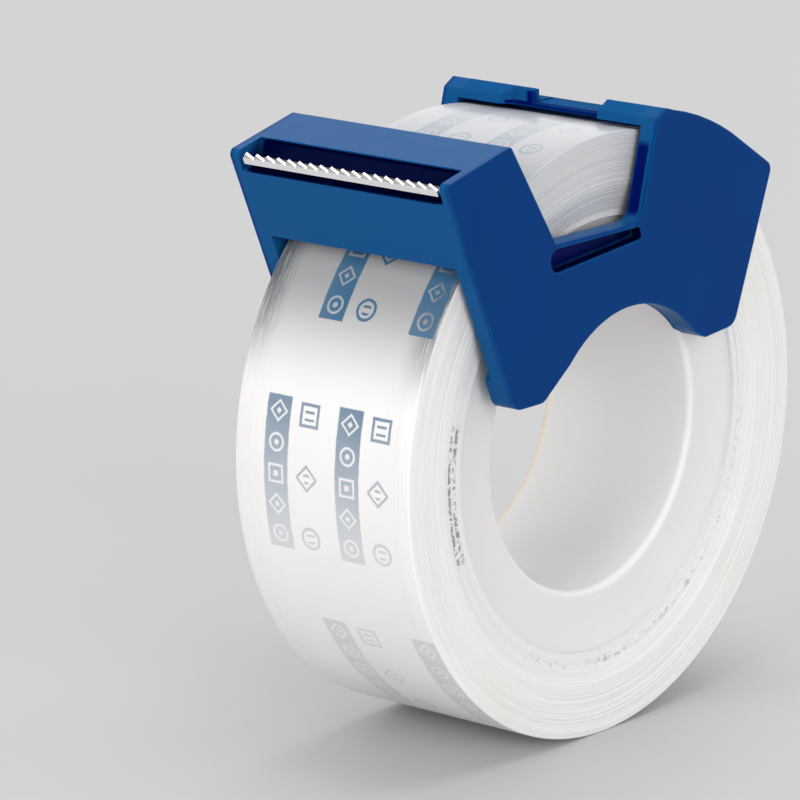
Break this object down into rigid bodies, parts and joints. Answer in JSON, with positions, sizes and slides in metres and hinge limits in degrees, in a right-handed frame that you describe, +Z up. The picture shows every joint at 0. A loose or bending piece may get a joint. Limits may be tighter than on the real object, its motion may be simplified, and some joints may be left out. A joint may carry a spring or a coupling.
{
  "type": "tape dispenser",
  "caption": "Clip-on cutter with a serrated steel blade, snapped over a small roll of clear adhesive tape that turns on its core between the clip's cheeks.",
  "frame": {"origin": "on the ground, below the middle of the roll's axis", "axes": "+X along the roll's axis to the clip's near cheek, -Y towards the cutter head, +Z up from the roll's rim to the clip"},
  "size_m": [0.0222, 0.05, 0.0515],
  "materials": {
    "clip_plastic": "satin moulded cobalt-blue plastic",
    "blade_steel": "bright stamped steel strip",
    "core_plastic": "smooth grey-white moulded plastic",
    "label_paper": "white coated paper strip, wound under the tape",
    "tape_film": "wound clear film, milky white in depth, with layered sides"
  },
  "bodies": {
    "clip": {"clip_frame": "clip_plastic", "cutter_blade": "blade_steel"},
    "roll": {"tape_core": "core_plastic", "label_sleeve": "label_paper", "wound_tape": "tape_film"}
  },
  "joints": [
    {"name": "roll_spin", "type": "hinge", "parent": "clip", "child": "roll", "pos_m": [0, 0, 0.025], "axis": [1, 0, 0], "continuous": true}
  ]
}
